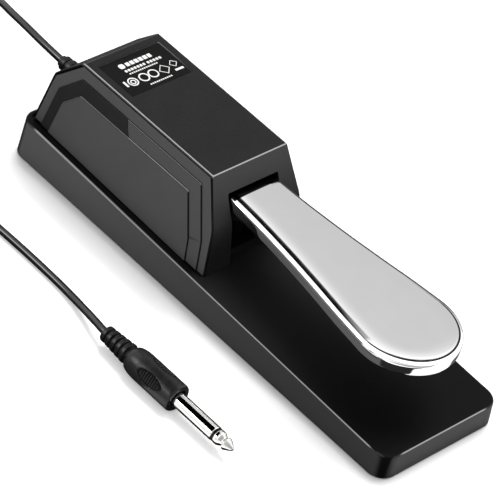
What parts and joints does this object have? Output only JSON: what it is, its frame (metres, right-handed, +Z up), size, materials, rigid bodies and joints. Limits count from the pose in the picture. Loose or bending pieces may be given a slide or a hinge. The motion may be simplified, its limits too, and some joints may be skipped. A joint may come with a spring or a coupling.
{
  "type": "sustain pedal",
  "caption": "Piano-style sustain pedal: wedge base, upright housing with stepped side panels, sprung chrome lever, cord and 6.35 mm jack plug.",
  "frame": {"origin": "on the floor, at the centre of the pedal's base without its cord", "axes": "+Z up, +Y towards the rear where the cord leaves, foot end of the lever towards -Y, +X to the player's right"},
  "size_m": [0.1143, 0.3281, 0.0532],
  "materials": {
    "black_plastic": "fine satin texture",
    "grey_plastic": "fine satin texture",
    "dark_trim": "satin",
    "label": "matt printed film",
    "chrome": "polished",
    "carrier_plastic": "matt",
    "steel": "zinc plated",
    "spring_steel": "bright wire",
    "nylon": "natural",
    "rubber": "matt",
    "board": "solder mask",
    "switch_plastic": "satin",
    "red_plastic": "satin",
    "wire": "insulated wire",
    "cord_rubber": "satin",
    "cord_pvc": "satin PVC",
    "tie": "hook and loop",
    "plug_plastic": "satin",
    "plug_metal": "nickel plated",
    "insulator": "gloss"
  },
  "bodies": {
    "base": {"base_shell": "black_plastic", "base_plate": "steel", "rubber_mat": "rubber", "housing_shell": "black_plastic", "cheek_left": "grey_plastic", "cheek_right": "grey_plastic", "trim_left": "dark_trim", "trim_right": "dark_trim", "label_plate": "label", "pivot_pin": "steel", "pin_clips": "steel", "pivot_bracket": "steel", "bracket_screws": "steel", "return_spring": "spring_steel", "up_stop": "rubber", "down_stop": "rubber", "circuit_board": "board", "board_screws": "steel", "microswitch": "switch_plastic", "polarity_switch": "steel", "cable_clamp": "carrier_plastic", "clamp_screws": "steel", "signal_wires": "wire", "housing_screws": "steel", "plate_screws": "steel", "cord_boot": "cord_rubber", "cord_entry": "cord_pvc", "cord_rear": "cord_pvc", "cord_coil": "cord_pvc", "cord_tie": "tie", "cord_front": "cord_pvc", "plug_boot": "cord_rubber", "plug_handle": "plug_plastic", "plug_sleeve": "plug_metal", "plug_insulator": "insulator", "plug_tip": "plug_metal"},
    "pedal": {"pedal_lever": "chrome", "lever_carrier": "carrier_plastic", "lever_screws": "steel", "pivot_bushes": "nylon"},
    "plunger": {"switch_plunger": "red_plastic"},
    "knob": {"polarity_knob": "switch_plastic"}
  },
  "joints": [
    {"name": "pedal_hinge", "type": "hinge", "parent": "base", "child": "pedal", "pos_m": [0, 0.082, 0.038], "axis": [1, 0, 0], "range_deg": [0, 5], "stiffness_Nm_per_rad": 10.5, "springref_deg": -4.35, "deforming": ["return_spring"]},
    {"name": "plunger_slide", "type": "slide", "parent": "base", "child": "plunger", "axis": [0, 0, -1], "range_m": [0, 0.002]},
    {"name": "knob_slide", "type": "slide", "parent": "base", "child": "knob", "axis": [1, 0, 0], "range_m": [0, 0.0035]}
  ],
  "couplings": [
    {"joint": "plunger_slide", "follows": "pedal_hinge", "m_per_rad": 0.022}
  ]
}
